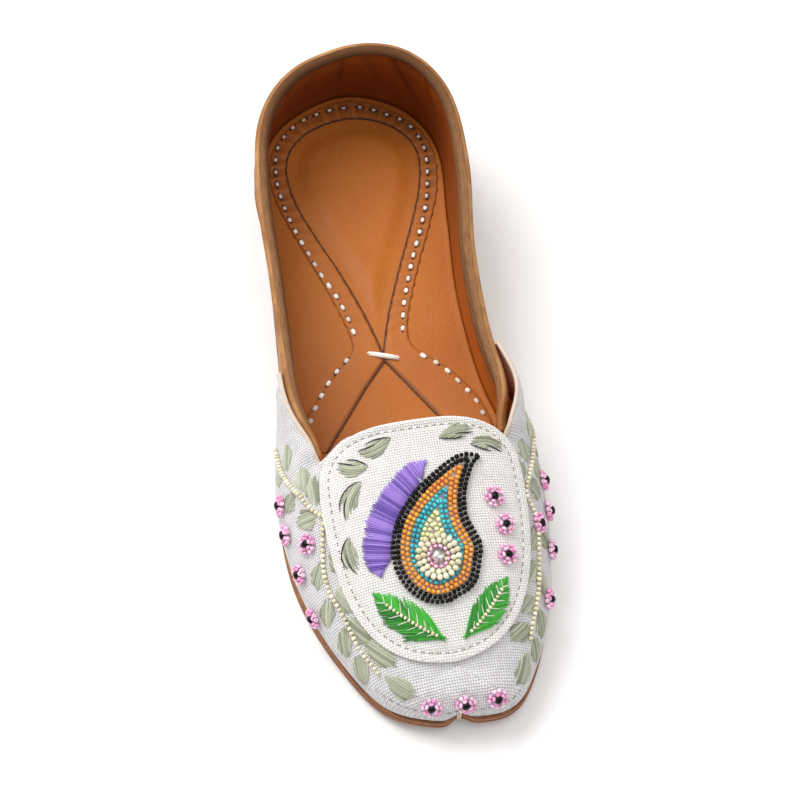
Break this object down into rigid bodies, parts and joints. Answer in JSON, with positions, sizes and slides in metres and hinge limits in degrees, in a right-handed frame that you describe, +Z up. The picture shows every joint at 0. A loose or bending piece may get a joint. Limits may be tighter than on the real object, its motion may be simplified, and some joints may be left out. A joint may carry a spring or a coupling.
{
  "type": "mojari shoe",
  "caption": "Flat leather slip-on shoe with a rounded toe, a white cloth vamp with bead and silk embroidery, a raised sewn apron and an open tan leather quarter.",
  "frame": {"origin": "on the floor under the middle of the whole shoe", "axes": "+X to the medial side, +Y to the heel with the toe towards -Y, +Z up"},
  "size_m": [0.0944, 0.2524, 0.0552],
  "materials": {
    "sole_leather": "raw cut leather edge",
    "tan_leather": "smooth, satin",
    "pale_leather": "folded strip with a suede inner face",
    "white_cloth": "coarse plain weave",
    "orange_beads": "rows of small beads",
    "cream_beads": "pearl",
    "pink_beads": "clear gloss",
    "purple_silk": "satin stitch",
    "green_silk": "satin stitch",
    "sage_silk": "satin stitch",
    "turquoise_beads": "rows of small beads",
    "black_beads": "small gloss beads",
    "white_thread": "waxed sewing thread"
  },
  "bodies": {
    "root": {"outsole": "sole_leather", "insole": "tan_leather", "insole_ribbon": "tan_leather", "upper": "tan_leather", "collar_binding": "pale_leather", "vamp_cover": "white_cloth", "apron": "white_cloth", "motif_paisley": "orange_beads", "motif_rosette": "cream_beads", "motif_fan": "purple_silk", "motif_leaf_lateral": "green_silk", "motif_leaf_medial": "green_silk", "flower_lateral_1": "pink_beads", "flower_lateral_2": "pink_beads", "flower_lateral_3": "pink_beads", "flower_lateral_4": "pink_beads", "flower_lateral_5": "pink_beads", "flower_medial_1": "pink_beads", "flower_medial_2": "pink_beads", "flower_medial_3": "pink_beads", "flower_medial_4": "pink_beads", "flower_medial_5": "pink_beads", "flower_toe_1": "pink_beads", "flower_toe_2": "pink_beads", "flower_toe_3": "pink_beads", "flower_apron_1": "pink_beads", "flower_apron_2": "pink_beads", "flower_apron_3": "pink_beads"}
  },
  "joints": []
}
